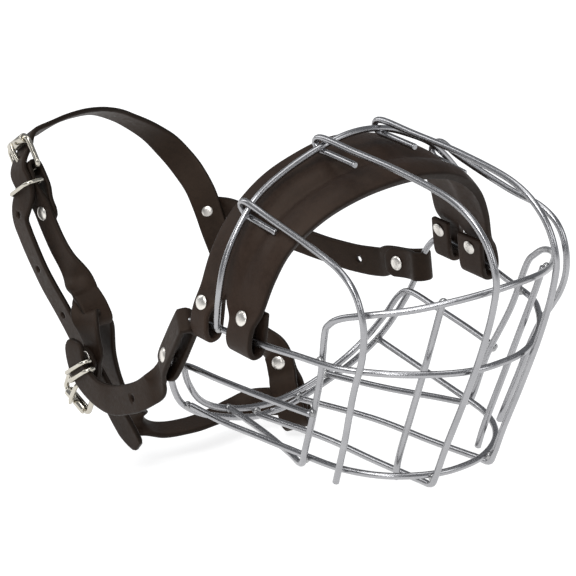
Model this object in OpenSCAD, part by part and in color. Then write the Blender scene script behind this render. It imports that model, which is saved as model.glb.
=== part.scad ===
// Basket muzzle: a welded wire basket with a leather nose pad, and a leather harness with two
// roller buckles. Millimetres. +X is the dog's nose, +Y the dog's left, +Z up.
// The origin is the middle of the snout opening, at the level of the side ring.

/* [Wire basket] */
// Diameter of every basket wire
wire_d = 3; // [2.6:0.1:3.2]
// Flat sides of a wire in this model
wire_sides = 8; // [6:1:10]

/* [Leather] */
// Width of the harness straps
strap_w = 14; // [12:0.5:15]
// Thickness of the harness straps
strap_t = 2.4; // [1.8:0.1:2.6]
// Thickness of the nose pad
pad_t = 4; // [3:0.5:5]
// Thickness of the nose pad's tabs
tab_t = 2.6; // [2:0.2:3]
// Diameter of the punched strap holes
hole_d = 3.4; // [3:0.2:4]

/* [Rivets] */
// Diameter of a rivet cap
rivet_d = 7; // [6:0.5:8]
// Height of a rivet cap
rivet_h = 1.4; // [1:0.1:2]
// Diameter of a rivet post
rivet_post_d = 2.6; // [2:0.2:3]

/* [Buckles] */
// Diameter of the buckle frame wire
frame_d = 2.6; // [2.2:0.1:2.8]
// Width of the buckle frame between wire centres
frame_w = 19; // [18:0.5:21]
// Length of the buckle frame between wire centres
frame_l = 14.5; // [14:0.5:18]
// Outer diameter of the roller
roller_d = 5; // [4.6:0.1:5.4]
// Length of the roller
roller_w = 14; // [12:0.5:15]
// Radial clearance of the roller and the prong eye
running_fit = 0.08; // [0.05:0.01:0.1]
// Diameter of the prong
prong_d = 2.2; // [1.8:0.1:2.4]
// Diameter of the keeper wire
keeper_d = 2; // [1.6:0.1:2.2]

/* [Hidden] */
STEEL = "#c4c6c8";
NICKEL = "#d8d2c4";
LEATHER = "#3a2b24";
WIRE_STEPS = 3;
STRAP_STEPS = 3;

// Wire routes, right or left half, as points that the wire's axis passes through.
ARCH = [[-1, 72, 1], [2, 73, 17], [2, 70, 31], [1, 63, 43], [0, 51, 56], [1, 36, 65],
    [4, 18, 73], [5, 0, 76]];
SIDE_RING = [[101, 0, 0], [100, 12, 0], [95, 24, 0], [85, 38, 0], [73, 49, 0], [60, 57, 0],
    [40, 62, 0], [19, 67, 0], [-8, 71, 0], [-20, 73, -2], [-28, 73, -10], [-33, 72, -24],
    [-38, 69, -38], [-43, 60, -54], [-46, 46, -65], [-49, 27, -74], [-52, 10, -80],
    [-53, 0.4, -81]];
CHIN_INNER = [[41, 54, -30], [15, 59, -30], [-11, 63, -30], [-30, 65, -30], [-36, 63, -34],
    [-40, 58, -44], [-45, 48, -57], [-48, 35, -66], [-49, 18, -72], [-49, 0, -74]];
NOSE_BAND = [[-47, 29, -68], [-14, 36, -65], [14, 44, -62], [26, 48, -61], [30, 49, -59],
    [32, 50, -54], [39, 51, -33], [49, 55, -8], [55, 58, 14], [59, 59, 20], [66, 58, 25],
    [78, 52, 29], [90, 40, 32], [101, 26, 36], [108, 13, 39], [110, 0, 40]];
BOTTOM_RIM = [[-41, 56, -56], [-20, 54, -57], [0, 51, -57], [20, 48, -57], [44, 44, -57],
    [58, 38, -57], [68, 30, -57], [75, 20, -57], [79, 10, -57], [80, 0, -57]];
TOP_WIRE = [[18, 54, 47], [5, 54, 48], [-3, 54, 49], [-5, 55, 53], [0, 56, 56], [14, 55, 53],
    [45, 55, 48], [64, 57, 45], [75, 58, 38], [80, 58, 25], [78, 57, 10], [68, 53, -11],
    [59, 50, -38], [51, 48, -61]];
TOP_WIRE_CENTRE = [[26, 17, 71], [10, 17, 71], [2, 17, 71], [-1, 17, 74], [4, 17, 77],
    [24, 17, 77], [56, 17, 77], [88, 17, 74], [106, 17, 65], [115, 17, 50], [114, 17, 34],
    [107, 17, 10], [97, 17, -16], [87, 17, -40], [81, 17, -56], [78, 17, -61], [70, 17, -62],
    [40, 16, -65], [3, 15, -68], [-47, 13, -76]];
UPRIGHT = [[96, 29, 35], [90, 28, 22], [84, 27, 10], [86, 27, 0], [74, 26, -25], [66, 25, -50],
    [63, 24, -62]];

// Edges of the nose pad above its tabs, left half, and the route of one tab round the ring.
PAD_REAR = [[-16, 68, 16], [-15, 63, 30], [-14, 54, 44], [-13, 38, 57], [-12, 20, 64], [-12, 0, 67]];
PAD_FRONT = [[23, 66, 14], [25, 61, 28], [27, 53, 41], [30, 38, 52], [32, 20, 58], [33, 0, 60]];
TAB = [[68.5, 18], [71.5, 8], [73.3, 0], [72, -5], [69, -6], [66, -4], [64.5, 4], [63.5, 13]];
TAB_REAR = [-15, -4];
TAB_FRONT = [6, 22];

// Strap routes: each row is a point of the middle line and the direction that the face looks in.
function flip(P) = [for (i = [len(P) - 1:-1:0]) P[i]];
function mirrored(P) = [for (p = P) [p.x, -p.y, p.z]];
function across(P) = concat(P, flip(mirrored([for (i = [0:len(P) - 2]) P[i]])));

function unit(v) = v / norm(v);
function catmull(a, b, c, d, t) = 0.5 * (2 * b + (c - a) * t
    + (2 * a - 5 * b + 4 * c - d) * t * t + (3 * b - a - 3 * c + d) * t * t * t);
function spline(P, n) = let (e = len(P) - 1) concat(
    [for (i = [0:e - 1], j = [0:n - 1])
        catmull(i > 0 ? P[i - 1] : 2 * P[0] - P[1], P[i], P[i + 1],
            i < e - 1 ? P[i + 2] : 2 * P[e] - P[e - 1], j / n)],
    [P[e]]);
function tangent(P, i) = unit(P[min(i + 1, len(P) - 1)] - P[max(i - 1, 0)]);
function square_to(v, t) = unit(v - (v * t) * t);
function rolled(P) = let (e = len(P) - 1)
    [for (i = 0, v = square_to([0.3, 0.5, 0.8], tangent(P, 0)); i <= e;
        i = i + 1, v = i <= e ? square_to(v, tangent(P, i)) : v) v];

module skin(rings) {
    k = len(rings[0]);
    e = len(rings) - 1;
    polyhedron([for (r = rings) each r], concat(
        [[for (j = [0:k - 1]) j]],
        [for (i = [0:e - 1], j = [0:k - 1])
            each [[i * k + j, (i + 1) * k + j, (i + 1) * k + (j + 1) % k],
                [i * k + j, (i + 1) * k + (j + 1) % k, i * k + (j + 1) % k]]],
        [[for (j = [k - 1:-1:0]) e * k + j]]));
}

module tube(route, d) {
    P = spline(route, WIRE_STEPS);
    N = rolled(P);
    skin([for (i = [0:len(P) - 1]) let (t = tangent(P, i), b = cross(t, N[i]))
        [for (j = [0:wire_sides - 1]) let (a = 360 * j / wire_sides)
            P[i] + d / 2 * (cos(a) * N[i] + sin(a) * b)]]);
}

function xyz(r) = [r[0], r[1], r[2]];
function facing(r) = [r[3], r[4], r[5]];

module strap(route, w = strap_w, t = strap_t) {
    R = spline(route, STRAP_STEPS);
    P = [for (r = R) xyz(r)];
    skin([for (i = [0:len(P) - 1])
        let (d = tangent(P, i), n = square_to(facing(R[i]), d), b = cross(d, n))
            [for (s = [[1, 1], [1, -1], [-1, -1], [-1, 1]])
                P[i] + s[0] * w / 2 * b + s[1] * t / 2 * n]]);
}

// Buckles: the prong bar's middle, and how far the pull direction leans from +Z about Y.
HEAD_BUCKLE = [-163, -56, 20];
HEAD_LEAN = -37;
NECK_BUCKLE = [-105, -69.5, -62];
NECK_LEAN = -157;
// Buckle axes: x along the bar, y from the bar to the roller, z away from the dog.
function turned(lean, q) =
    [q.x * cos(lean) + q.y * sin(lean), -q.z, -q.x * sin(lean) + q.y * cos(lean)];
// Middle of the neck keeper, and its lean.
NECK_KEEPER = [-95.5, -77.1, -55];
NECK_KEEPER_LEAN = -37;
function in_buckle(o, lean, r) = concat(o + turned(lean, xyz(r)), turned(lean, facing(r)));
module at_buckle(o, lean) { translate(o) rotate([90, lean, 0]) children(); }

// A strap end folded round something at o: u points out of the fold, n is the long layer's face.
// gap is the layers' half distance at the fold; rear and front reach along u; back is the tab.
layer = strap_t / 2 + 0.1;
function row(p, n) = [p.x, p.y, p.z, n.x, n.y, n.z];
function fold(o, u, n, gap, rear, front, back) = [
    row(o - back * u - layer * n, -n), row(o - (rear + 7) * u - layer * n, -n),
    row(o - rear * u - gap * n, -n), row(o + front * u - gap * n, -n),
    row(o + (front + 0.7 * gap) * u - 0.7 * gap * n, u - n), row(o + (front + gap) * u, u),
    row(o + (front + 0.7 * gap) * u + 0.7 * gap * n, u + n),
    row(o + front * u + gap * n, n), row(o - rear * u + gap * n, n),
    row(o - (rear + 7) * u + layer * n, n), row(o - back * u + layer * n, n)];

ring_gap = wire_d / 2 + 0.4 + strap_t / 2;
bar_gap = frame_d / 2 + 0.4 + strap_t / 2;
// Right loop round the side ring, and the neck strap that goes on from it to the neck buckle.
RIGHT_U = unit([0.48, 0, 0.88]);
RIGHT_N = square_to([-0.45, -0.9, 0.1], RIGHT_U);
RIGHT_O = [-21, -73.5, -4];
LOOP_RIGHT = fold(RIGHT_O, RIGHT_U, RIGHT_N, ring_gap, 25, 0, 34);
NECK_STRAP = [[-40, -76.5, -39.5, 0.1, -1, 0], [-43.5, -77.5, -43, 0.1, -1, 0.1],
    [-50, -78, -48, 0, -1, 0.1], [-58, -78, -52.5, 0, -1, 0.1], [-71, -77.5, -58, -0.1, -1, 0.1],
    [-82, -77.5, -59, -0.1, -1, 0], [-92, -77.2, -56.5, 0, -1, 0], [-98, -77, -52, 0, -1, 0],
    [-100.5, -77, -45, 0, -1, 0], [-101, -76.3, -39, 0, -1, 0]];
// Left loop, and the cheek strap that goes on from it to the head strap.
LEFT_U = unit([1, 0.1, 0.2]);
LEFT_N = square_to([0.2, 1, 0], LEFT_U);
LEFT_O = [-31, 73, -19];
LOOP_LEFT = fold(LEFT_O, LEFT_U, LEFT_N, ring_gap + 0.6, 1, 0, 22);
CHEEK_LEFT = [[-60.5, 72.7, -27.2, 0.2, 1, 0], [-80, 68, -29, 0.3, 1, 0], [-109, 58, -26, 0.4, 1, 0],
    [-135, 50, -22, 0.2, 1, 0], [-146, 49.2, -22.5, -0.2, 1, 0], [-155.6, 44.8, -23.6, -0.6, 0.75, -0.2],
    [-158.5, 42.2, -24, -0.65, 0.72, -0.2]];
// Head strap: from its loop on the neck strap, over the head, through the head buckle to its tip.
HEAD_LOOP_U = unit([0.45, 0, -0.9]);
HEAD_LOOP_N = square_to([0.6, -0.8, 0], HEAD_LOOP_U);
HEAD_LOOP_O = [-84, 38, -99];
HEAD_STRAP = concat(
    fold(HEAD_LOOP_O, HEAD_LOOP_U, HEAD_LOOP_N, 1.5 * strap_t + 0.8, 8, 8, 26),
    [[-113, 38, -70, 0.2, -1, 0], [-136, 41, -47, 0.45, -0.9, 0.1],
        [-148, 41.5, -30, 0.6, -0.75, 0.2], [-159, 41, -12, 0.7, -0.7, 0.2],
        [-172, 38, 1, 0.7, -0.6, 0.1], [-180, 29, 13, 0.55, -0.45, -0.45],
        [-183, 14, 24, 0.42, -0.15, -0.85], [-182, 0, 31, 0.35, 0, -0.9],
        [-180, -14, 34, 0.45, 0, -0.9], [-177, -28, 35, 0.5, 0.05, -0.85]],
    [for (r = [[0, 18, -16, 0, -1, -0.1], [0, 17, -8.5, 0, -0.95, -0.35], [0, 14.4, -4.7, 0, -0.6, -0.8],
        [0, 10.3, -1.8, 0, -0.8, -1], [0, 5.5, 3.2, 0, -0.9, -1], [0, 0.5, 5.9, 0, -0.1, -1], [0, -8, 6.1, 0, 0, -1]])
            in_buckle(HEAD_BUCKLE, HEAD_LEAN, r)],
    [[-160, -64, 1, 0.1, 1, 0], [-156, -64, -8, 0.15, 1, 0], [-144, -63, -25, 0.2, 1, 0],
        [-130, -62, -39, 0.2, 1, 0], [-119, -61, -51, 0.15, 1, 0], [-107, -60, -64.5, 0.1, 1, 0],
        [-96, -60, -74, 0, 1, 0], [-86, -60, -83, 0, 1, 0], [-77, -59, -90, 0, 1, 0]]);
// Head buckle strap: folded on the head buckle's bar, and looped round the neck strap's bend.
BEND_O = [-111.5, -59.5, -31.5];
BEND_U = unit([0.66, 0, -0.75]);
BEND_N = unit([0.75, -0.1, 0.66]);
HEAD_BUCKLE_STRAP = concat(
    [for (r = fold([0, 0, 0], [0, 1, 0], [0, 0, 1], bar_gap, 10, 0, 26))
        in_buckle(HEAD_BUCKLE, HEAD_LEAN, r)],
    [[-139, -58, -9, 0, -1, 0], [-129, -58.5, -16.5, 0.1, -1, 0.1]],
    flip(fold(BEND_O, BEND_U, BEND_N, 3.4, 1, 5, 9)));
// Neck buckle strap: folded on the neck buckle's bar, up to the bend and back under the throat.
NECK_BUCKLE_STRAP = concat(
    [for (r = fold([0, 0, 0], [0, 1, 0], [0, 0, -1], bar_gap, 8, 0, 18))
        in_buckle(NECK_BUCKLE, NECK_LEAN, r)],
    [[-99.5, -68.2, -41, 0, 1, 0], [-104, -67.3, -34, -0.1, 0.9, -0.4],
        [-109, -64.5, -31.3, -0.4, 0.5, -0.7], [-111.5, -59.5, -30.5, -0.6, 0, -0.8],
        [-113, -54, -32.5, -0.5, -0.6, -0.6], [-113.5, -51, -40, 0, -1, 0],
        [-113, -50, -58, 0, -1, 0], [-110, -47, -76, 0, -1, 0.2], [-106, -41, -91, 0, -0.8, 0.6], [-103, -30, -100, 0, -0.3, 1],
        [-99, -14, -101.5, 0, 0, 1], [-98, 2, -101, 0, 0, 1], [-99, 15, -101, 0.2, -0.2, 0.9],
        [-95, 27, -100, 0.5, -0.7, 0.3], [-84, 38, -99, 0.6, -0.8, 0.1],
        [-78, 43, -98.5, 0.6, -0.8, 0.1]]);

module arch_wire() { color(STEEL) tube(across(ARCH), wire_d); }
module side_ring_wire() {
    color(STEEL) tube(concat(flip(mirrored(SIDE_RING)), [for (i = [1:len(SIDE_RING) - 1])
        SIDE_RING[i]]), wire_d);
}
module chin_inner_wire() { color(STEEL) tube(across(CHIN_INNER), wire_d); }
module bottom_rim_wire() { color(STEEL) tube(across(BOTTOM_RIM), wire_d); }
module nose_band_wire() { color(STEEL) tube(across(NOSE_BAND), wire_d); }
module top_wire_right() { color(STEEL) tube(mirrored(TOP_WIRE), wire_d); }
module top_wire_left() { color(STEEL) tube(TOP_WIRE, wire_d); }
module top_wire_centre_right() { color(STEEL) tube(mirrored(TOP_WIRE_CENTRE), wire_d); }
module top_wire_centre_left() { color(STEEL) tube(TOP_WIRE_CENTRE, wire_d); }
module front_upright_right() { color(STEEL) tube(mirrored(UPRIGHT), wire_d); }
module front_upright_left() { color(STEEL) tube(UPRIGHT, wire_d); }

module pad_band() {
    A = spline(across(PAD_REAR), WIRE_STEPS);
    B = spline(across(PAD_FRONT), WIRE_STEPS);
    skin([for (i = [0:len(A) - 1])
        let (n = unit(cross(B[i] - A[i], tangent(A, i))) * pad_t / 2)
            [A[i] + n, B[i] + n, B[i] - n, A[i] - n]]);
}
module tab(side, span, out) {
    x = (span[0] + span[1]) / 2;
    strap([for (i = [0:len(TAB) - 1])
        let (t = tangent(TAB, i)) [x, side * (TAB[i][0] + out), TAB[i][1], 0, side * -t[1], t[0]]],
        span[1] - span[0], tab_t);
}
module nose_pad() {
    color(LEATHER) union() {
        pad_band();
        for (side = [-1, 1]) {
            tab(side, TAB_REAR, 1.5);
            tab(side, TAB_FRONT, -1.6);
        }
    }
}

// A rivet through leather of the given thickness, with its post along z and a cap at each end.
module rivet(grip) {
    cylinder(h = grip + 0.4, d = rivet_post_d, center = true, $fn = 32);
    for (s = [0, 180]) rotate([s, 0, 0]) translate([0, 0, grip / 2]) intersection() {
        cylinder(h = rivet_h, d = rivet_d, $fn = 48);
        translate([0, 0, rivet_h - rivet_d]) sphere(r = rivet_d, $fn = 64);
    }
}
// Turns z to the direction n.
module facing_to(o, n) {
    translate(o) rotate([0, acos(n.z / norm(n)), atan2(n.y, n.x)]) children();
}
module nose_pad_rivets() {
    color(NICKEL) for (side = [-1, 1], x = [-10, 14])
        facing_to([x, side * (x < 0 ? 68.8 : 65.8), 9], [0, side, 0.3]) rivet(9.4);
}
module cheek_rivets() {
    color(NICKEL) {
        facing_to(RIGHT_O - 21 * RIGHT_U, RIGHT_N) rivet(2 * ring_gap + strap_t);
        facing_to(LEFT_O - 14 * LEFT_U, LEFT_N) rivet(2 * strap_t + 0.3);
    }
}
module harness_rivets() {
    color(NICKEL) {
        facing_to([-154, 42.9, -23.5], [0.66, -0.72, 0.2]) rivet(2 * strap_t + 0.7);
        facing_to(HEAD_LOOP_O - 20 * HEAD_LOOP_U, HEAD_LOOP_N) rivet(2 * strap_t + 0.3);
        at_buckle(HEAD_BUCKLE, HEAD_LEAN) translate([0, -21, 0]) rivet(2 * strap_t + 0.3);
        at_buckle(NECK_BUCKLE, NECK_LEAN) translate([0, -14.5, 0]) rivet(2 * strap_t + 0.3);
    }
}

module cheek_loop_right() { color(LEATHER) strap(LOOP_RIGHT); }
module cheek_loop_left() { color(LEATHER) strap(LOOP_LEFT); }
module cheek_strap_left() { color(LEATHER) strap(CHEEK_LEFT); }
// Room for the prong: the slot in a fold, or the hole that the prong goes through.
module prong_room(o, lean, y0, y1, z0, z1) {
    at_buckle(o, lean) translate([-hole_d / 2, y0, z0]) cube([hole_d, y1 - y0, z1 - z0]);
}
// Punched holes: their middles and directions.
NECK_HOLE = [-54, -78.06, -50.45];
NECK_HOLE_N = [-0.043, -0.996, 0.075];
TONGUE_HOLE = [-146.2, -63.25, -22.1];
TONGUE_HOLE_N = [0.086, 0.988, 0.13];
module punch() { cylinder(h = 3 * strap_t, d = hole_d, center = true, $fn = 32); }
module neck_strap() {
    color(LEATHER) difference() {
        strap(NECK_STRAP);
        facing_to(NECK_HOLE, NECK_HOLE_N) punch();
    }
}
module head_strap() {
    color(LEATHER) difference() {
        strap(HEAD_STRAP);
        prong_room(HEAD_BUCKLE, HEAD_LEAN, 2, 12, 0, 9);
        facing_to(TONGUE_HOLE, TONGUE_HOLE_N) punch();
    }
}
module head_buckle_strap() {
    color(LEATHER) difference() {
        strap(HEAD_BUCKLE_STRAP);
        prong_room(HEAD_BUCKLE, HEAD_LEAN, -5, 6, -5, 6);
    }
}
module neck_buckle_strap() {
    color(LEATHER) difference() {
        strap(NECK_BUCKLE_STRAP);
        prong_room(NECK_BUCKLE, NECK_LEAN, -5, 6, -5, 6);
    }
}

module wire_box(w, l, d) {
    for (y = [0, l]) translate([0, y, 0]) rotate([0, 90, 0])
        cylinder(h = w, d = d, center = true, $fn = 32);
    for (x = [-w / 2, w / 2]) translate([x, 0, 0]) rotate([-90, 0, 0])
        cylinder(h = l, d = d, $fn = 32);
    for (x = [-w / 2, w / 2], y = [0, l]) translate([x, y, 0]) sphere(d = d, $fn = 32);
}
module buckle_frame() { wire_box(frame_w, frame_l, frame_d); }
module roller() {
    translate([0, frame_l, 0]) rotate([0, 90, 0]) difference() {
        cylinder(h = roller_w, d = roller_d, center = true, $fn = 48);
        cylinder(h = roller_w + 1, r = frame_d / 2 + running_fit, center = true, $fn = 48);
    }
}
prong_rest = roller_d / 2 + prong_d / 2 + 0.4;
module prong() {
    difference() {
        union() {
            rotate([0, 90, 0]) cylinder(h = prong_d + 0.6, r = frame_d / 2 + 1.5, center = true, $fn = 48);
            translate([0, 1, 1.4]) rotate([-90 + atan((prong_rest - 1.4) / (frame_l - 1)), 0, 0])
                cylinder(h = frame_l + 1.6, d = prong_d, $fn = 32);
        }
        rotate([0, 90, 0])
            cylinder(h = 3 * prong_d, r = frame_d / 2 + running_fit, center = true, $fn = 48);
    }
}
// A wire loop round the tongue and the fold's outer layer.
keeper_w = strap_w + keeper_d + 2;
module keeper(depth) { rotate([90, 0, 0]) wire_box(keeper_w, depth, keeper_d); }

module head_buckle_frame() { color(NICKEL) at_buckle(HEAD_BUCKLE, HEAD_LEAN) buckle_frame(); }
module head_buckle_roller() { color(NICKEL) at_buckle(HEAD_BUCKLE, HEAD_LEAN) roller(); }
module head_buckle_prong() { color(NICKEL) at_buckle(HEAD_BUCKLE, HEAD_LEAN) prong(); }
module head_keeper() {
    color(NICKEL) at_buckle(HEAD_BUCKLE, HEAD_LEAN) translate([0, -7, 0]) keeper(9.6);
}
module neck_buckle_frame() { color(NICKEL) at_buckle(NECK_BUCKLE, NECK_LEAN) buckle_frame(); }
module neck_buckle_roller() { color(NICKEL) at_buckle(NECK_BUCKLE, NECK_LEAN) roller(); }
module neck_buckle_prong() { color(NICKEL) at_buckle(NECK_BUCKLE, NECK_LEAN) prong(); }
module neck_keeper() {
    color(NICKEL) at_buckle(NECK_KEEPER, NECK_KEEPER_LEAN) for (y = [0.5, 4.5])
        translate([0, y, -2.6]) keeper(5.2);
}

arch_wire();
side_ring_wire();
chin_inner_wire();
bottom_rim_wire();
nose_band_wire();
top_wire_right();
top_wire_left();
top_wire_centre_right();
top_wire_centre_left();
front_upright_right();
front_upright_left();
nose_pad();
nose_pad_rivets();
cheek_loop_right();
cheek_loop_left();
cheek_rivets();
neck_strap();
cheek_strap_left();
head_strap();
head_buckle_strap();
neck_buckle_strap();
harness_rivets();
head_buckle_frame();
head_buckle_roller();
head_buckle_prong();
head_keeper();
neck_buckle_frame();
neck_buckle_roller();
neck_buckle_prong();
neck_keeper();
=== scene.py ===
"""Looks of the basket muzzle: satin steel wire, dark brown leather and nickel-plated fittings.

Sizes and routes are those of the CAD model, in its millimetres and its frame; MM turns them
into metres. Only the front uprights are drawn straighter than there.
"""

import math

import bpy
import numpy as np
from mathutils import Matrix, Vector


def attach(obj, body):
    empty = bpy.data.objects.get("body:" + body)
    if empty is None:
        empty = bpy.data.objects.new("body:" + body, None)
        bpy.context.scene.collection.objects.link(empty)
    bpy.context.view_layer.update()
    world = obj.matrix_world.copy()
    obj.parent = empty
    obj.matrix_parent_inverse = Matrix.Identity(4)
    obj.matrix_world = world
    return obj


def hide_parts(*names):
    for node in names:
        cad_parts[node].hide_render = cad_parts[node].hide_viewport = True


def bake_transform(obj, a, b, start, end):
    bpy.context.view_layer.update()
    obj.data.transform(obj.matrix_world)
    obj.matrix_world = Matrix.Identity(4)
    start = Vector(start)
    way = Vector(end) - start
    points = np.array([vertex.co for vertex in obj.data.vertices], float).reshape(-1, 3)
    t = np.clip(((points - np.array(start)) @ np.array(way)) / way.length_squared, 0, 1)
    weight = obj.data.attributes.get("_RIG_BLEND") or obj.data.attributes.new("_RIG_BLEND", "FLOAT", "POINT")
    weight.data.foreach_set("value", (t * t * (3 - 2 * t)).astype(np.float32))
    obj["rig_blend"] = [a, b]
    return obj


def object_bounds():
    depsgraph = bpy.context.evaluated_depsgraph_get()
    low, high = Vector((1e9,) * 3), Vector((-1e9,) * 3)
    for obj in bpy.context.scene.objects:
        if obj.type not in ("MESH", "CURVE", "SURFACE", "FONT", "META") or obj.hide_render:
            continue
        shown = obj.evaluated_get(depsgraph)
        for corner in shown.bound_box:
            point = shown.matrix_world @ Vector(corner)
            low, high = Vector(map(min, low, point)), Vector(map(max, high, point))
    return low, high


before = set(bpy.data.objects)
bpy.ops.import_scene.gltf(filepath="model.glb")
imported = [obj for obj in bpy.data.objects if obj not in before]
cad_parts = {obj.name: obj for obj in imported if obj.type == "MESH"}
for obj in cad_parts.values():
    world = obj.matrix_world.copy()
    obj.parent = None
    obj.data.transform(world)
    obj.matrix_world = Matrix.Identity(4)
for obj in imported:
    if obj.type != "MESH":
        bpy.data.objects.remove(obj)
CAD_BOX = [list(corner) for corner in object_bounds()]

MM = 0.001

# Sizes, as in the CAD model.
WIRE_D = 3.0
STRAP_W = 14.0
STRAP_T = 2.4
PAD_T = 4.0
TAB_T = 2.6
HOLE_D = 3.4
RIVET_D = 7.0
FRAME_D = 2.6
FRAME_W = 19.0
FRAME_L = 14.5
ROLLER_D = 5.0
ROLLER_W = 14.0
RUNNING_FIT = 0.08
PRONG_D = 2.2
KEEPER_D = 2.0
KEEPER_W = STRAP_W + KEEPER_D + 2

# Wire routes: right or left half, as points that the wire's axis passes through.
ARCH = [(-1, 72, 1), (2, 73, 17), (2, 70, 31), (1, 63, 43), (0, 51, 56), (1, 36, 65),
        (4, 18, 73), (5, 0, 76)]
SIDE_RING = [(101, 0, 0), (100, 12, 0), (95, 24, 0), (85, 38, 0), (73, 49, 0), (60, 57, 0),
             (40, 62, 0), (19, 67, 0), (-8, 71, 0), (-20, 73, -2), (-28, 73, -10),
             (-33, 72, -24), (-38, 69, -38), (-43, 60, -54), (-46, 46, -65), (-49, 27, -74),
             (-52, 10, -80), (-53, 0.4, -81)]
CHIN_INNER = [(41, 54, -30), (15, 59, -30), (-11, 63, -30), (-30, 65, -30), (-36, 63, -34),
              (-40, 58, -44), (-45, 48, -57), (-48, 35, -66), (-49, 18, -72), (-49, 0, -74)]
NOSE_BAND = [(-47, 29, -68), (-14, 36, -65), (14, 44, -62), (26, 48, -61), (30, 49, -59),
             (32, 50, -54), (39, 51, -33), (49, 55, -8), (55, 58, 14), (59, 59, 20),
             (66, 58, 25), (78, 52, 29), (90, 40, 32), (101, 26, 36), (108, 13, 39),
             (110, 0, 40)]
BOTTOM_RIM = [(-41, 56, -56), (-20, 54, -57), (0, 51, -57), (20, 48, -57), (44, 44, -57),
              (58, 38, -57), (68, 30, -57), (75, 20, -57), (79, 10, -57), (80, 0, -57)]
TOP_WIRE = [(18, 54, 47), (5, 54, 48), (-3, 54, 49), (-5, 55, 53), (0, 56, 56), (14, 55, 53),
            (45, 55, 48), (64, 57, 45), (75, 58, 38), (80, 58, 25), (78, 57, 10),
            (68, 53, -11), (59, 50, -38), (51, 48, -61)]
TOP_WIRE_CENTRE = [(26, 17, 71), (10, 17, 71), (2, 17, 71), (-1, 17, 74), (4, 17, 77),
                   (24, 17, 77), (56, 17, 77), (88, 17, 74), (106, 17, 65), (115, 17, 50),
                   (114, 17, 34), (107, 17, 10), (97, 17, -16), (87, 17, -40), (81, 17, -56),
                   (78, 17, -61), (70, 17, -62), (40, 16, -65), (3, 15, -68), (-47, 13, -76)]
UPRIGHT = [(96, 28.5, 35), (91, 28, 20), (84, 27, 0), (75, 26, -25), (66, 25, -50),
           (63, 24, -62)]

# Nose pad: its edges above the tabs, left half, and the route of a tab round the ring.
PAD_REAR = [(-16, 68, 16), (-15, 63, 30), (-14, 54, 44), (-13, 38, 57), (-12, 20, 64),
            (-12, 0, 67)]
PAD_FRONT = [(23, 66, 14), (25, 61, 28), (27, 53, 41), (30, 38, 52), (32, 20, 58),
             (33, 0, 60)]
TAB = [(63.5, 13), (64.5, 4), (66, -4), (69, -6), (72, -5), (73.3, 0), (71.5, 8)]
TAB_REAR, TAB_REAR_OUT = (-15, -4), 1.5
TAB_FRONT, TAB_FRONT_OUT = (6, 22), -1.6
SLOT = 0.43

# Buckles: the prong bar's middle, and the lean of the pull direction in degrees.
HEAD_BUCKLE, HEAD_LEAN = (-163, -56, 20), -37
NECK_BUCKLE, NECK_LEAN = (-105, -69.5, -62), -157
NECK_KEEPER, NECK_KEEPER_LEAN = (-95.5, -77.1, -55), -37


# ---------------------------------------------------------------- curves

def unit(v):
    v = np.asarray(v, float)
    return v / np.linalg.norm(v)


def mirrored(points):
    return [(x, -y, z) for x, y, z in points]


def across(half):
    """Left half to whole: the last point lies on the middle plane."""
    return list(half) + mirrored(half[-2::-1])


def spline(points, steps):
    """The CAD model's Catmull-Rom curve through the rows."""
    p = np.asarray(points, float)
    p = np.vstack([2 * p[0] - p[1], p, 2 * p[-1] - p[-2]])
    out = []
    for i in range(1, len(p) - 2):
        a, b, c, d = p[i - 1:i + 3]
        for t in np.arange(steps) / steps:
            out.append(0.5 * (2 * b + (c - a) * t + (2 * a - 5 * b + 4 * c - d) * t * t
                              + (3 * b - a - 3 * c + d) * t ** 3))
    out.append(p[-2])
    return np.array(out)


def even(rows, spacing):
    """The same curve with rows evenly spaced along its first three values."""
    rows = np.asarray(rows, float)
    s = np.concatenate([[0], np.cumsum(np.linalg.norm(np.diff(rows[:, :3], axis=0), axis=1))])
    at = np.linspace(0, s[-1], max(3, int(round(s[-1] / spacing)) + 1))
    return np.column_stack([np.interp(at, s, rows[:, k]) for k in range(rows.shape[1])])


def tangents(p, closed=False):
    d = (np.roll(p, -1, 0) - np.roll(p, 1, 0)) if closed else np.gradient(p, axis=0)
    return d / np.linalg.norm(d, axis=1)[:, None]


def square_to(v, t):
    return unit(v - np.dot(v, t) * t)


def rolled(t, first=(0.3, 0.5, 0.8)):
    """Normals carried along the tangents without twist."""
    n = [square_to(np.array(first), t[0])]
    for k in range(1, len(t)):
        n.append(square_to(n[-1], t[k]))
    return np.array(n)


# ---------------------------------------------------------------- meshes

def make_object(name, verts, faces, material, flat_faces=(), attributes=None):
    mesh = bpy.data.meshes.new(name)
    mesh.from_pydata([tuple(v) for v in np.asarray(verts) * MM], [], faces)
    mesh.polygons.foreach_set("use_smooth", [True] * len(faces))
    for k in flat_faces:
        mesh.polygons[k].use_smooth = False
    for key, values in (attributes or {}).items():
        mesh.attributes.new(key, "FLOAT", "POINT").data.foreach_set("value", values)
    mesh.materials.append(material)
    mesh.update()
    piece = bpy.data.objects.new(name, mesh)
    bpy.context.scene.collection.objects.link(piece)
    return piece


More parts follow.
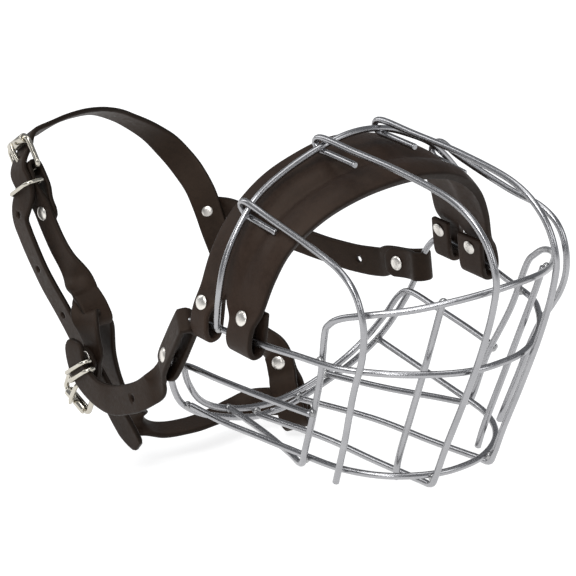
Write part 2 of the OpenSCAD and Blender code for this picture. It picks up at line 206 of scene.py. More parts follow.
class Soup:
    """Collects several closed skins into one mesh."""

    def __init__(self):
        self.verts, self.faces, self.flat, self.attributes = [], [], [], {}

    def skin(self, rings, closed=False, **attributes):
        base, k, e = len(self.verts), len(rings[0]), len(rings)
        for ring in rings:
            self.verts.extend(ring)
        for i in range(e if closed else e - 1):
            a, b = base + i * k, base + (i + 1) % e * k
            for j in range(k):
                m = (j + 1) % k
                self.faces.append((a + j, a + m, b + m, b + j))
        if not closed:
            self.flat += [len(self.faces), len(self.faces) + 1]
            self.faces.append(tuple(base + j for j in range(k - 1, -1, -1)))
            self.faces.append(tuple(base + (e - 1) * k + j for j in range(k)))
        for key, values in attributes.items():
            self.attributes.setdefault(key, []).extend(np.ravel(values))

    def build(self, name, material):
        return make_object(name, self.verts, self.faces, material, self.flat,
                           self.attributes)


def tube_rings(points, diameter, sides=14, closed=False, widths=None):
    """Round rings along a line, with the cut ends' edges eased."""
    p = np.asarray(points, float)
    if closed:
        t = tangents(p, True)
        n = rolled(t)
        # The twist left over at the closing point is spread along the loop.
        end = square_to(n[-1], t[0])
        turn = math.atan2(np.dot(np.cross(end, n[0]), t[0]), np.dot(end, n[0]))
        spin = turn * np.arange(len(p)) / len(p)
        n = np.array([n[i] * math.cos(a) + np.cross(t[i], n[i]) * math.sin(a)
                      for i, a in enumerate(spin)])
        r = np.full(len(p), diameter / 2)
    else:
        ease = 0.22 * diameter / 2
        r = np.full(len(p), diameter / 2) if widths is None else np.asarray(widths) / 2
        t = tangents(p)
        p = np.vstack([p[0], p[0] + ease * t[0], p[1:-1], p[-1] - ease * t[-1], p[-1]])
        r = np.concatenate([[r[0] - ease], [r[0]], r[1:-1], [r[-1]], [r[-1] - ease]])
        t = np.vstack([t[0], t, t[-1]])
        n = rolled(t)
    b = np.cross(t, n)
    angles = 2 * math.pi * np.arange(sides) / sides
    return [[p[i] + r[i] * (math.cos(a) * n[i] + math.sin(a) * b[i]) for a in angles]
            for i in range(len(p))]


def with_modifiers(piece):
    """The piece with its modifiers made part of its mesh."""
    bpy.context.view_layer.update()
    shown = piece.evaluated_get(bpy.context.evaluated_depsgraph_get())
    mesh = bpy.data.meshes.new_from_object(shown)
    piece.modifiers.clear()
    piece.data = mesh
    return piece


# ---------------------------------------------------------------- materials

def new_material(name):
    material = bpy.data.materials.new(name)
    material.use_nodes = True
    tree = material.node_tree
    return material, tree, tree.nodes["Principled BSDF"]


def noise(tree, scale, detail=3.0, roughness=0.5, stretch=(1, 1, 1)):
    place = tree.nodes.new("ShaderNodeTexCoord")
    mapping = tree.nodes.new("ShaderNodeMapping")
    mapping.inputs["Scale"].default_value = stretch
    tree.links.new(place.outputs["Object"], mapping.inputs["Vector"])
    texture = tree.nodes.new("ShaderNodeTexNoise")
    texture.inputs["Scale"].default_value = scale
    texture.inputs["Detail"].default_value = detail
    texture.inputs["Roughness"].default_value = roughness
    tree.links.new(mapping.outputs["Vector"], texture.inputs["Vector"])
    return texture.outputs["Fac"]


def ramp(tree, value, low, high, start=0.0, end=1.0):
    """Maps value from start..end to colours or numbers low..high."""
    if isinstance(low, tuple):
        node = tree.nodes.new("ShaderNodeValToRGB")
        node.color_ramp.elements[0].position = start
        node.color_ramp.elements[0].color = (*low, 1)
        node.color_ramp.elements[1].position = end
        node.color_ramp.elements[1].color = (*high, 1)
        tree.links.new(value, node.inputs["Fac"])
        return node.outputs["Color"]
    node = tree.nodes.new("ShaderNodeMapRange")
    for key, number in (("From Min", start), ("From Max", end), ("To Min", low), ("To Max", high)):
        node.inputs[key].default_value = number
    tree.links.new(value, node.inputs["Value"])
    return node.outputs["Result"]


def mix(tree, factor, a, b, blend="MIX"):
    node = tree.nodes.new("ShaderNodeMix")
    node.data_type = "RGBA"
    node.blend_type = blend
    ends = (node.inputs[6], a), (node.inputs[7], b)
    for socket, value in ((node.inputs["Factor"], factor), *ends):
        if isinstance(value, (int, float)):
            socket.default_value = value
        elif isinstance(value, tuple):
            socket.default_value = (*value, 1)
        else:
            tree.links.new(value, socket)
    return node.outputs[2]


def bump(tree, height, distance, below=None, strength=1.0):
    node = tree.nodes.new("ShaderNodeBump")
    node.inputs["Strength"].default_value = strength
    node.inputs["Distance"].default_value = distance * MM
    tree.links.new(height, node.inputs["Height"])
    if below is not None:
        tree.links.new(below, node.inputs["Normal"])
    return node.outputs["Normal"]


def leather_material(name, dark, light, worn):
    """Strap leather: pored grain, soft creases, darker burnished edges, uneven dye."""
    material, tree, shader = new_material(name)
    patches = noise(tree, 45, 4, 0.6)
    fine = noise(tree, 520, 4, 0.65)
    colour = ramp(tree, patches, dark, light, 0.32, 0.70)
    colour = mix(tree, ramp(tree, fine, 0.0, 0.35, 0.35, 0.75), colour, worn)
    rim = tree.nodes.new("ShaderNodeAttribute")
    rim.attribute_name = "rim"
    colour = mix(tree, ramp(tree, rim.outputs["Fac"], 0.0, 0.75, 0.35, 1.0), colour,
                 tuple(0.35 * c for c in dark))
    tree.links.new(colour, shader.inputs["Base Color"])
    tree.links.new(ramp(tree, fine, 0.46, 0.64, 0.3, 0.7), shader.inputs["Roughness"])
    place = tree.nodes.new("ShaderNodeTexCoord")
    pores = tree.nodes.new("ShaderNodeTexVoronoi")
    pores.feature = "DISTANCE_TO_EDGE"
    pores.inputs["Scale"].default_value = 1300
    tree.links.new(place.outputs["Object"], pores.inputs["Vector"])
    grain = bump(tree, pores.outputs["Distance"], 0.10, strength=0.35)
    creased = bump(tree, noise(tree, 170, 5, 0.6), 0.45, grain, 0.5)
    waves = bump(tree, noise(tree, 38, 2, 0.5), 1.2, creased, 0.4)
    tree.links.new(waves, shader.inputs["Normal"])
    shader.inputs["Specular IOR Level"].default_value = 0.2
    shader.inputs["Specular Tint"].default_value = (1.0, 0.84, 0.72, 1)
    return material


def metal_material(name, dark, light, rough_low, rough_high, dents=0.03):
    """Plated metal with fine drawing marks and slightly uneven gloss."""
    material, tree, shader = new_material(name)
    shader.inputs["Metallic"].default_value = 1.0
    stains = noise(tree, 60, 4, 0.6)
    specks = noise(tree, 900, 3, 0.6)
    tree.links.new(ramp(tree, stains, dark, light, 0.3, 0.7), shader.inputs["Base Color"])
    tree.links.new(ramp(tree, specks, rough_low, rough_high, 0.3, 0.7),
                   shader.inputs["Roughness"])
    marks = bump(tree, specks, dents, strength=0.5)
    tree.links.new(bump(tree, noise(tree, 240, 2), 0.004, marks, 0.3), shader.inputs["Normal"])
    return material


STEEL = metal_material("satin_steel", (0.33, 0.33, 0.34), (0.39, 0.39, 0.40), 0.25, 0.30, 0.001)
WELD = metal_material("weld_bead", (0.28, 0.28, 0.28), (0.40, 0.40, 0.40), 0.26, 0.38, 0.05)
NICKEL = metal_material("nickel", (0.46, 0.43, 0.37), (0.56, 0.53, 0.46), 0.16, 0.24, 0.01)
RIVET_NICKEL = metal_material("rivet_nickel", (0.74, 0.71, 0.66), (0.82, 0.79, 0.74),
                              0.30, 0.38, 0.01)
LEATHER = leather_material("strap_leather", (0.0090, 0.0052, 0.0034), (0.019, 0.0112, 0.0074),
                           (0.034, 0.021, 0.014))
PAD_LEATHER = leather_material("pad_leather", (0.0145, 0.0085, 0.0060),
                               (0.029, 0.0175, 0.0125), (0.048, 0.031, 0.023))


# ---------------------------------------------------------------- wires

WIRE_ROUTES = {
    "arch_wire": across(ARCH),
    "side_ring_wire": mirrored(SIDE_RING[::-1]) + SIDE_RING[1:],
    "chin_inner_wire": across(CHIN_INNER),
    "bottom_rim_wire": across(BOTTOM_RIM),
    "nose_band_wire": across(NOSE_BAND),
    "top_wire_right": mirrored(TOP_WIRE),
    "top_wire_left": TOP_WIRE,
    "top_wire_centre_right": mirrored(TOP_WIRE_CENTRE),
    "top_wire_centre_left": TOP_WIRE_CENTRE,
    "front_upright_right": mirrored(UPRIGHT),
    "front_upright_left": UPRIGHT,
}
WELD_REACH = 1.25 * WIRE_D
WELD_SPACING = 9.0
BEAD_W, BEAD_H = 2.05, 1.75  # half width and half height of a weld bead


def wire_piece(name, route):
    soup = Soup()
    soup.skin(tube_rings(even(spline(route, 12), 1.4), WIRE_D))
    piece = soup.build(name + "_drawn", STEEL)
    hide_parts(name)
    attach(piece, "basket")


def crossings(a, b):
    """Places where two wires come within welding reach, one for each crossing."""
    gaps = np.linalg.norm(a[:, None] - b[None], axis=2)
    found = []
    for i, j in sorted(zip(*np.where(gaps < WELD_REACH)), key=lambda ij: gaps[ij]):
        middle = (a[i] + b[j]) / 2
        if all(np.linalg.norm(middle - f[0]) > WELD_SPACING for f in found):
            found.append((middle, b[j] - a[i]))
    return found


def bead_rings(centre, axis, wide, high, rows=8, sides=14):
    """A lens-shaped blob of weld metal with its short axis between the two wires."""
    t = unit(axis if np.linalg.norm(axis) > 0.05 else (0, 0, 1))
    n = square_to(np.array((0.3, 0.5, 0.8)), t)
    b = np.cross(t, n)
    rings = []
    for lat in np.linspace(-0.46 * math.pi, 0.46 * math.pi, rows):
        r, z = wide * math.cos(lat), high * math.sin(lat)
        rings.append([centre + z * t + r * (math.cos(a) * n + math.sin(a) * b)
                      for a in 2 * math.pi * np.arange(sides) / sides])
    return rings


def weld_beads():
    lines = {name: even(spline(route, 12), 0.7) for name, route in WIRE_ROUTES.items()}
    names = sorted(lines)
    soup = Soup()
    for k, first in enumerate(names):
        for second in names[k + 1:]:
            for centre, axis in crossings(lines[first], lines[second]):
                if "arch_wire" in (first, second) and centre[2] > 20:
                    continue  # the hooks go round the arch with no weld
                soup.skin(bead_rings(centre, axis, BEAD_W, BEAD_H))
    piece = soup.build("weld_beads", WELD)
    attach(piece, "basket")


for wire_name, wire_route in WIRE_ROUTES.items():
    wire_piece(wire_name, wire_route)
weld_beads()


# ---------------------------------------------------------------- straps

def turned(lean, q):
    """Buckle axes to the frame: x along the bar, y from the bar to the roller, z outward."""
    c, s = math.cos(math.radians(lean)), math.sin(math.radians(lean))
    return np.array((q[0] * c + q[1] * s, -q[2], -q[0] * s + q[1] * c))


def in_buckle(place, lean, rows):
    return [(*(np.array(place) + turned(lean, r[:3])), *turned(lean, r[3:])) for r in rows]


LAYER = STRAP_T / 2 + 0.1
RING_GAP = WIRE_D / 2 + 0.4 + STRAP_T / 2
BAR_GAP = FRAME_D / 2 + 0.4 + STRAP_T / 2


def fold(o, u, n, gap, rear, front, back):
    """A strap end folded round something at o, as in the CAD model."""
    o, u, n = (np.asarray(v, float) for v in (o, u, n))
    rows = [(o - back * u - LAYER * n, -n), (o - (rear + 7) * u - LAYER * n, -n),
            (o - rear * u - gap * n, -n), (o + front * u - gap * n, -n),
            (o + (front + 0.7 * gap) * u - 0.7 * gap * n, u - n),
            (o + (front + gap) * u, u),
            (o + (front + 0.7 * gap) * u + 0.7 * gap * n, u + n),
            (o + front * u + gap * n, n), (o - rear * u + gap * n, n),
            (o - (rear + 7) * u + LAYER * n, n), (o - back * u + LAYER * n, n)]
    return [(*p, *d) for p, d in rows]


RIGHT_U = unit((0.48, 0, 0.88))
RIGHT_N = square_to(np.array((-0.45, -0.9, 0.1)), RIGHT_U)
RIGHT_O = np.array((-21, -73.5, -4))
LOOP_RIGHT = fold(RIGHT_O, RIGHT_U, RIGHT_N, RING_GAP, 25, 0, 34)
NECK_STRAP = [(-40, -76.5, -39.5, 0.1, -1, 0), (-43.5, -77.5, -43, 0.1, -1, 0.1),
              (-50, -78, -48, 0, -1, 0.1), (-58, -78, -52.5, 0, -1, 0.1),
              (-71, -77.5, -58, -0.1, -1, 0.1), (-82, -77.5, -59, -0.1, -1, 0),
              (-92, -77.2, -56.5, 0, -1, 0), (-98, -77, -52, 0, -1, 0),
              (-100.5, -77, -45, 0, -1, 0), (-101, -76.3, -39, 0, -1, 0)]
LEFT_U = unit((1, 0.1, 0.2))
LEFT_N = square_to(np.array((0.2, 1, 0)), LEFT_U)
LEFT_O = np.array((-31, 73, -19))
LOOP_LEFT = fold(LEFT_O, LEFT_U, LEFT_N, RING_GAP + 0.6, 1, 0, 22)
CHEEK_LEFT = [(-60.5, 72.7, -27.2, 0.2, 1, 0), (-80, 68, -29, 0.3, 1, 0),
              (-109, 58, -26, 0.4, 1, 0), (-135, 50, -22, 0.2, 1, 0),
              (-146, 49.2, -22.5, -0.2, 1, 0), (-155.6, 44.8, -23.6, -0.6, 0.75, -0.2),
              (-158.5, 42.2, -24, -0.65, 0.72, -0.2)]
HEAD_LOOP_U = unit((0.45, 0, -0.9))
HEAD_LOOP_N = square_to(np.array((0.6, -0.8, 0)), HEAD_LOOP_U)
HEAD_LOOP_O = np.array((-84, 38, -99))
HEAD_STRAP = (
    fold(HEAD_LOOP_O, HEAD_LOOP_U, HEAD_LOOP_N, 1.5 * STRAP_T + 0.8, 8, 8, 26)
    + [(-113, 38, -70, 0.2, -1, 0), (-136, 41, -47, 0.45, -0.9, 0.1),
       (-148, 41.5, -30, 0.6, -0.75, 0.2), (-159, 41, -12, 0.7, -0.7, 0.2),
       (-172, 38, 1, 0.7, -0.6, 0.1), (-180, 29, 13, 0.55, -0.45, -0.45),
       (-183, 14, 24, 0.42, -0.15, -0.85), (-182, 0, 31, 0.35, 0, -0.9),
       (-180, -14, 34, 0.45, 0, -0.9), (-177, -28, 35, 0.5, 0.05, -0.85)]
    + in_buckle(HEAD_BUCKLE, HEAD_LEAN, [
        (0, 18, -16, 0, -1, -0.1), (0, 17, -8.5, 0, -0.95, -0.35), (0, 14.4, -4.7, 0, -0.6, -0.8),
        (0, 10.3, -1.8, 0, -0.8, -1), (0, 5.5, 3.2, 0, -0.9, -1), (0, 0.5, 5.9, 0, -0.1, -1),
        (0, -8, 6.1, 0, 0, -1)])
    + [(-160, -64, 1, 0.1, 1, 0), (-156, -64, -8, 0.15, 1, 0), (-144, -63, -25, 0.2, 1, 0),
       (-130, -62, -39, 0.2, 1, 0), (-119, -61, -51, 0.15, 1, 0), (-107, -60, -64.5, 0.1, 1, 0),
       (-96, -60, -74, 0, 1, 0), (-86, -60, -83, 0, 1, 0), (-77, -59, -90, 0, 1, 0)])
BEND_O = (-111.5, -59.5, -31.5)
BEND_U = unit((0.66, 0, -0.75))
BEND_N = unit((0.75, -0.1, 0.66))
HEAD_BUCKLE_STRAP = (
    in_buckle(HEAD_BUCKLE, HEAD_LEAN, fold((0, 0, 0), (0, 1, 0), (0, 0, 1), BAR_GAP, 10, 0, 26))
    + [(-139, -58, -9, 0, -1, 0), (-129, -58.5, -16.5, 0.1, -1, 0.1)]
    + fold(BEND_O, BEND_U, BEND_N, 3.4, 1, 5, 9)[::-1])
NECK_BUCKLE_STRAP = (
    in_buckle(NECK_BUCKLE, NECK_LEAN, fold((0, 0, 0), (0, 1, 0), (0, 0, -1), BAR_GAP, 8, 0, 18))
    + [(-99.5, -68.2, -41, 0, 1, 0), (-104, -67.3, -34, -0.1, 0.9, -0.4),
        (-109, -64.5, -31.3, -0.4, 0.5, -0.7), (-111.5, -59.5, -30.5, -0.6, 0, -0.8),
        (-113, -54, -32.5, -0.5, -0.6, -0.6), (-113.5, -51, -40, 0, -1, 0),
        (-113, -50, -58, 0, -1, 0), (-110, -47, -76, 0, -1, 0.2),
       (-106, -41, -91, 0, -0.8, 0.6), (-103, -30, -100, 0, -0.3, 1), (-99, -14, -101.5, 0, 0, 1),
       (-98, 2, -101, 0, 0, 1), (-99, 15, -101, 0.2, -0.2, 0.9), (-95, 27, -100, 0.5, -0.7, 0.3),
       (-84, 38, -99, 0.6, -0.8, 0.1), (-78, 43, -98.5, 0.6, -0.8, 0.1)])


def ribbon_section(width, thick):
    """Closed outline of a strap, edges rounded, as (across, outward, rim) rows."""
    round_r = 0.42 * thick
    flat_w, flat_t = width / 2 - round_r, thick / 2 - round_r
    rows = []
    for corner, (sx, sy) in enumerate(((1, -1), (1, 1), (-1, 1), (-1, -1))):
        for step in range(4):
            a = math.radians(corner * 90 - 90 + 30 * step)
            rows.append((sx * flat_w + round_r * math.cos(a), sy * flat_t + round_r * math.sin(a)))
        if corner in (1, 3):  # the wide faces, between the corners
            side = 1 if corner == 1 else -1
            for f in (0.86, 0.5, 0.0, -0.5, -0.86):
                rows.append((side * f * flat_w, side * (thick / 2)))
    return [(s, n, min(1.0, max(0.0, (abs(s) / (width / 2) - 0.80) / 0.2))) for s, n in rows]


def ribbon_skin(soup, route, tip=4.5, tail=4.5, width=STRAP_W, thick=STRAP_T):
    """A strap along a route; tip and tail are the lengths over which its ends narrow."""
    rows = even(spline(route, 10), 1.3)
    p = rows[:, :3]
    t = tangents(p)
    s = np.concatenate([[0], np.cumsum(np.linalg.norm(np.diff(p, axis=0), axis=1))])
    outline = ribbon_section(width, thick)
    rings, rims = [], []
    for i in range(len(p)):
        n = square_to(rows[i, 3:], t[i])
        b = np.cross(t[i], n)
        wide = 1.0 + 0.012 * math.sin(0.11 * s[i]) + 0.008 * math.sin(0.37 * s[i] + 1)
        for length, distance in ((tail, s[i]), (tip, s[-1] - s[i])):
            if distance < length:
                wide *= 0.42 + 0.58 * math.sqrt(distance / length)
        thin = 1.0
        for distance in (s[i], s[-1] - s[i]):
            thin *= min(1.0, 0.72 + 0.28 * distance / 1.3)
        rings.append([p[i] + a * wide * b + h * thin * n for a, h, _ in outline])
        rims.append([r for _, _, r in outline])
    rims[0] = rims[-1] = [1.0] * len(outline)
    soup.skin(rings, rim=rims)
    return p, t, rows[:, 3:]


def nearest(route, place):
    """The point of a strap route nearest to place, with the strap's face direction there."""
    rows = even(spline(route, 10), 0.5)
    t = tangents(rows[:, :3])
    i = int(np.argmin(np.linalg.norm(rows[:, :3] - np.array(place), axis=1)))
    return rows[i, :3], square_to(rows[i, 3:], t[i])


def punch(piece, holes, diameter=HOLE_D):
    """Cuts round holes; each is (centre, direction)."""
    cutter = Soup()
    for centre, direction in holes:
        line = [centre - 5 * unit(direction), centre, centre + 5 * unit(direction)]
        cutter.skin(tube_rings(line, diameter, 20))
    tool = cutter.build(piece.name + "_punch", LEATHER)
    cut = piece.modifiers.new("punch", "BOOLEAN")
    cut.operation, cut.object, cut.solver = "DIFFERENCE", tool, "EXACT"
    with_modifiers(piece)
    bpy.data.objects.remove(tool)


def strap_piece(name, route, holes=(), **ends):
    soup = Soup()
    ribbon_skin(soup, route, **ends)
    piece = soup.build(name, LEATHER)
    if holes:
        punch(piece, [nearest(route, place) for place in holes])
    return piece


right = strap_piece("neck_strap_ribbon", LOOP_RIGHT + NECK_STRAP, [(-54, -78, -50.5)])
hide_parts("cheek_loop_right", "neck_strap")
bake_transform(right, "basket", "harness", start=(-0.033, -0.074, -0.026),
         end=(-0.052, -0.078, -0.050))

left = strap_piece("cheek_strap_ribbon", LOOP_LEFT + CHEEK_LEFT, [(-72, 70, -28)])
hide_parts("cheek_loop_left", "cheek_strap_left")
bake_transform(left, "basket", "harness", start=(-0.044, 0.072, -0.021), end=(-0.068, 0.071, -0.029))

head = strap_piece("head_strap_ribbon", HEAD_STRAP,
                   [(-160, -64, 1), (-146.2, -63.2, -22.1), (-129, -62, -40), (-112, -60.5, -59)],
                   tip=11)
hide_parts("head_strap")
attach(head, "harness")

upper = strap_piece("head_buckle_strap_ribbon", HEAD_BUCKLE_STRAP)
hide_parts("head_buckle_strap")
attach(upper, "harness")

lower = strap_piece("neck_buckle_strap_ribbon", NECK_BUCKLE_STRAP)
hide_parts("neck_buckle_strap")
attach(lower, "harness")


# ---------------------------------------------------------------- nose pad

def pad_rows():
    """Control rows of the left half: rear edge, slot's two sides and front edge."""
    rows = []
    for y, z in TAB:
        rows.append([(TAB_REAR[0], y + TAB_REAR_OUT, z), (TAB_REAR[1], y + TAB_REAR_OUT, z),
                     (TAB_FRONT[0], y + TAB_FRONT_OUT, z), (TAB_FRONT[1], y + TAB_FRONT_OUT, z)])
    for rear, front in zip(PAD_REAR, PAD_FRONT):
        slot = tuple((1 - SLOT) * a + SLOT * b for a, b in zip(rear, front))
        rows.append([rear, slot, slot, front])
    return rows


def nose_pad_piece():
    half = pad_rows()
    whole = half + [[(x, -y, z) for x, y, z in row] for row in half[-2::-1]]
    steps = 6
    flat = spline([np.ravel(row) for row in whole], steps)
    joined = range(len(TAB) * steps, len(flat) - len(TAB) * steps)
    rear_columns, front_columns = 9, 11
    verts, faces, groups, rims = [], [], [], []
    index = {}
    count = len(flat)
    along = tangents(flat[:, 3:6])
    for i, row in enumerate(flat):
        rear, slot_a, slot_b, front = row.reshape(4, 3)
        if i in joined:
            slot_a = slot_b = (slot_a + slot_b) / 2
        out = unit(np.cross(along[i], front - rear))
        if out @ np.array((0, rear[1], 30 + rear[2])) < 0:
            out = -out
        rise = min(1.0, max(0.0, (min(i, count - 1 - i) - len(TAB) * steps) / (2.5 * steps)))
        for part, (a, b, columns) in enumerate(((rear, slot_a, rear_columns),
                                                (slot_b, front, front_columns))):
            for j in range(columns + 1):
                f = j / columns
                g = SLOT * f if part == 0 else SLOT + (1 - SLOT) * f
                if i in joined and part == 1 and j == 0:
                    index[i, 1, 0] = index[i, 0, rear_columns]
                    continue
                crown = 2.4 * math.sin(math.pi * g) ** 0.8
                valley = 2.6 * math.exp(-((g - 0.60) / 0.085) ** 2)
                lip = 1.2 * math.exp(-((g - 0.86) / 0.10) ** 2)
                index[i, part, j] = len(verts)
                verts.append(a + (b - a) * f + rise * (crown - valley + lip) * out)
                groups.append(rise)
                rims.append(max(0.0, (abs(2 * g - 1) - 0.93) / 0.07))
    for i in range(count - 1):
        for part, columns in ((0, rear_columns), (1, front_columns)):
            for j in range(columns):
                faces.append((index[i, part, j], index[i, part, j + 1],
                              index[i + 1, part, j + 1], index[i + 1, part, j]))
    piece = make_object("nose_pad_band", verts, faces, PAD_LEATHER, attributes={"rim": rims})
    weights = piece.vertex_groups.new(name="thick")
    for k, w in enumerate(groups):
        weights.add([k], max(0.001, w), "REPLACE")
    shell = piece.modifiers.new("shell", "SOLIDIFY")
    shell.thickness, shell.offset = PAD_T * MM, 0.0
    shell.vertex_group, shell.thickness_vertex_group = "thick", TAB_T / PAD_T
    shell.use_even_offset = True
    with_modifiers(piece)
    ease = piece.modifiers.new("ease", "BEVEL")
    ease.width, ease.segments, ease.limit_method = 0.75 * MM, 2, "ANGLE"
    ease.angle_limit = math.radians(50)
    smooth = piece.modifiers.new("smooth", "SUBSURF")
    smooth.levels = smooth.render_levels = 1
    with_modifiers(piece)
    piece.data.polygons.foreach_set("use_smooth", [True] * len(piece.data.polygons))
    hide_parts("nose_pad")
    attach(piece, "basket")
    return piece


nose_pad_piece()


# ---------------------------------------------------------------- rivets

# From the cap's top to its rim: radius and height, as parts of the rivet's own.
CAP_PROFILE = [(0.015, 1.0), (0.16, 0.99), (0.34, 0.96), (0.52, 0.89), (0.70, 0.76),
               (0.85, 0.52), (0.95, 0.25), (1.0, 0.06), (0.99, -0.05), (0.93, -0.12)]
CAP_H = 1.1


def cap_rings(place, direction, radius=RIVET_D / 2, sides=40):
    """The domed cap of a rivet, on leather at place and facing direction."""
    t = unit(direction)
    n = square_to(np.array((0.31, 0.52, 0.79)), t)
    b = np.cross(t, n)
    return [[place + h * CAP_H * t + r * radius * (math.cos(a) * n - math.sin(a) * b)
             for a in 2 * math.pi * np.arange(sides) / sides] for r, h in CAP_PROFILE]


def rivet_piece(name, node, body, rivets):
    """rivets: (middle, direction, grip) rows, each with a cap at both ends."""
    soup = Soup()
    for middle, direction, grip in rivets:
        for side in (-1, 1):
            soup.skin(cap_rings(middle + side * (grip / 2) * unit(direction),
                                side * unit(direction)))
    piece = soup.build(name, RIVET_NICKEL)
    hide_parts(node)
    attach(piece, body)


rivet_piece("nose_pad_rivet_caps", "nose_pad_rivets", "basket",
            [(np.array((x, side * (68.8 if x < 0 else 65.8), 9)), (0, side, 0.3), 9.4)
             for side in (-1, 1) for x in (-10, 14)])
rivet_piece("cheek_rivet_caps", "cheek_rivets", "basket",
            [(RIGHT_O - 21 * RIGHT_U, RIGHT_N, 2 * RING_GAP + STRAP_T),
             (LEFT_O - 14 * LEFT_U, LEFT_N, 2 * STRAP_T + 0.3)])
rivet_piece("harness_rivet_caps", "harness_rivets", "harness",
            [(np.array((-154, 42.9, -23.5)), (0.66, -0.72, 0.2), 2 * STRAP_T + 0.7),
             (HEAD_LOOP_O - 20 * HEAD_LOOP_U, HEAD_LOOP_N, 2 * STRAP_T + 0.3),
             (np.array(HEAD_BUCKLE) + turned(HEAD_LEAN, (0, -21, 0)),
              turned(HEAD_LEAN, (0, 0, 1)), 2 * STRAP_T + 0.3),
             (np.array(NECK_BUCKLE) + turned(NECK_LEAN, (0, -14.5, 0)),
              turned(NECK_LEAN, (0, 0, 1)), 2 * STRAP_T + 0.3)])


# ---------------------------------------------------------------- buckles

def round_box(width, length, radius, steps=7):
    """Points of a rounded rectangle from y 0 to y length."""
    points = []
    for sx, sy, start in ((1, 1, 0), (-1, 1, 90), (-1, 0, 180), (1, 0, 270)):
        cx = sx * (width / 2 - radius)
        cy = length - radius if sy else radius
        for k in range(steps + 1):
            a = math.radians(start + 90 * k / steps)
            points.append((cx + radius * math.cos(a), cy + radius * math.sin(a), 0))
    return np.array(points)


def closed_even(points, spacing):
    loop = np.vstack([points, points[:1]])
    return even(loop, spacing)[:-1]


def placed(place, lean, rings):
    return [[np.array(place) + turned(lean, q) for q in ring] for ring in rings]


def buckle_pieces(side, place, lean):
    soup = Soup()
    outline = closed_even(round_box(FRAME_W, FRAME_L, 2.4), 0.8)
    soup.skin(placed(place, lean, tube_rings(outline, FRAME_D, 16, closed=True)), closed=True)
    piece = soup.build(side + "_buckle_frame_wire", NICKEL)
    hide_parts(side + "_buckle_frame")
    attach(piece, "harness")

    # The roller is sheet metal rolled round the frame's wire, with its seam left open.
    outer, inner = ROLLER_D / 2, FRAME_D / 2 + RUNNING_FIT
    arc = np.radians(np.linspace(8, 352, 34))
    rings = []
    for x, shrink in ((-0.5, 0.35), (-0.485, 0.1), (-0.46, 0), (0, 0), (0.46, 0), (0.485, 0.1),
                      (0.5, 0.35)):
        ring = [(x * ROLLER_W, FRAME_L - (outer - shrink) * math.cos(a),
                 (outer - shrink) * math.sin(a)) for a in arc]
        ring += [(x * ROLLER_W, FRAME_L - inner * math.cos(a), inner * math.sin(a))
                 for a in arc[::-1]]
        rings.append(ring)
    soup = Soup()
    soup.skin(placed(place, lean, rings))
    piece = soup.build(side + "_buckle_roller_sheet", NICKEL)
    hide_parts(side + "_buckle_roller")
    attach(piece, side + "_roller")

    # The prong is one wire bent round the bar, its free end eased down onto the roller.
    eye = FRAME_D / 2 + RUNNING_FIT + PRONG_D / 2
    rest = ROLLER_D / 2 + PRONG_D / 2 + 0.4
    route = [(0, eye * math.cos(math.radians(a)), eye * math.sin(math.radians(a)))
             for a in range(-235, 61, 16)][::-1]
    route = [(0, FRAME_L + 0.9, rest - 0.2), (0, FRAME_L - 0.5, rest + 0.05),
             (0, 11.5, rest + 0.25), (0, 6.5, 3.6), (0, 3.6, 3.0)] + route[1:]
    line = even(spline(route, 8), 0.6)
    widths = PRONG_D * np.clip(0.62 + 0.06 * np.arange(len(line)), 0, 1)
    soup = Soup()
    soup.skin(placed(place, lean, tube_rings(line, PRONG_D, 14, widths=widths)))
    piece = soup.build(side + "_buckle_prong_wire", NICKEL)
    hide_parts(side + "_buckle_prong")
    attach(piece, side + "_prong")


def keeper_piece(name, node, place, lean, loops, depth):
    """Wire loops round strap and tongue; loops are (y, lowest z) rows in buckle axes."""
    outline = closed_even(round_box(KEEPER_W, depth, 2.6), 0.7)
    soup = Soup()
    for y, low in loops:
        path = [(x, y, low + d) for x, d, _ in outline]
        soup.skin(placed(place, lean, tube_rings(path, KEEPER_D, 12, closed=True)), closed=True)
    piece = soup.build(name, NICKEL)
    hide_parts(node)
    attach(piece, "harness")


buckle_pieces("head", HEAD_BUCKLE, HEAD_LEAN)
buckle_pieces("neck", NECK_BUCKLE, NECK_LEAN)
keeper_piece("head_keeper_wire", "head_keeper", HEAD_BUCKLE, HEAD_LEAN, [(-7, 0)], 9.6)
keeper_piece("neck_keeper_wires", "neck_keeper", NECK_KEEPER, NECK_KEEPER_LEAN,
             [(0.5, -2.6), (4.5, -2.6)], 5.2)


# ---------------------------------------------------------------- studio

CAMERA_TARGET = Vector((5.11, -37.15, 12.31)) * MM
CAMERA_DISTANCE = 1.3935
CAMERA_AZIMUTH = math.radians(39.27)
CAMERA_ELEVATION = math.radians(23.82)
FLOOR_HALF = 6.0  # metres
FLOOR_GAP = 0.002  # metres, from the lowest point down to the floor


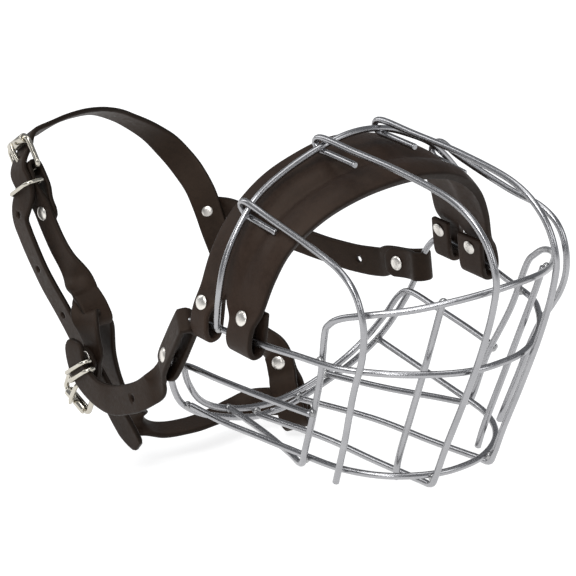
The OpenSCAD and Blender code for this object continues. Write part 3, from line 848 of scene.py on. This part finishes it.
def camera():
    toward = Vector((math.cos(CAMERA_ELEVATION) * math.cos(CAMERA_AZIMUTH),
                     -math.cos(CAMERA_ELEVATION) * math.sin(CAMERA_AZIMUTH),
                     math.sin(CAMERA_ELEVATION)))
    data = bpy.data.cameras.new("camera")
    data.lens, data.sensor_width = 200, 36
    data.clip_start, data.clip_end = 0.05, 50
    eye = bpy.data.objects.new("camera", data)
    eye.location = CAMERA_TARGET + CAMERA_DISTANCE * toward
    eye.rotation_mode = "QUATERNION"
    eye.rotation_quaternion = (-toward).to_track_quat("-Z", "Y")
    bpy.context.scene.collection.objects.link(eye)
    bpy.context.scene.camera = eye


def softbox(name, place, size, power):
    data = bpy.data.lights.new(name, "AREA")
    data.shape, data.size, data.size_y, data.energy = "RECTANGLE", size[0], size[1], power
    lamp = bpy.data.objects.new(name, data)
    lamp.location = place
    lamp.rotation_mode = "QUATERNION"
    lamp.rotation_quaternion = (Vector(place)).to_track_quat("Z", "Y")
    bpy.context.scene.collection.objects.link(lamp)


def studio():
    floor_z = CAD_BOX[0][2] - FLOOR_GAP
    side = FLOOR_HALF
    mesh = bpy.data.meshes.new("studio_floor")
    mesh.from_pydata([(-side, -side, floor_z), (side, -side, floor_z), (side, side, floor_z),
                      (-side, side, floor_z)], [], [(0, 1, 2, 3)])
    material, tree, shader = new_material("floor_paper")
    shader.inputs["Base Color"].default_value = (0.50, 0.50, 0.50, 1)
    shader.inputs["Roughness"].default_value = 0.9
    shader.inputs["Emission Color"].default_value = (1, 1, 1, 1)
    shader.inputs["Emission Strength"].default_value = 0.72
    mesh.materials.append(material)
    floor = bpy.data.objects.new("studio_floor", mesh)
    bpy.context.scene.collection.objects.link(floor)

    world = bpy.data.worlds.new("studio")
    world.use_nodes = True
    sky = world.node_tree.nodes["Background"]
    sky.inputs["Color"].default_value = (0.92, 0.95, 1.0, 1)
    sky.inputs["Strength"].default_value = 0.28
    bpy.context.scene.world = world
    softbox("key", (0.3, -1.1, 1.5), (0.8, 0.6), 15)
    softbox("fill_right", (1.6, 0.5, 0.9), (0.8, 0.8), 6)
    softbox("top", (-0.2, 0.1, 1.8), (1.2, 1.2), 10)
    softbox("rim_left", (-1.3, -0.6, 0.8), (0.4, 1.2), 5)
    softbox("strip", (1.1, -1.3, 0.9), (0.12, 1.2), 5)
    bpy.context.scene.view_settings.view_transform = "Standard"


camera()
studio()
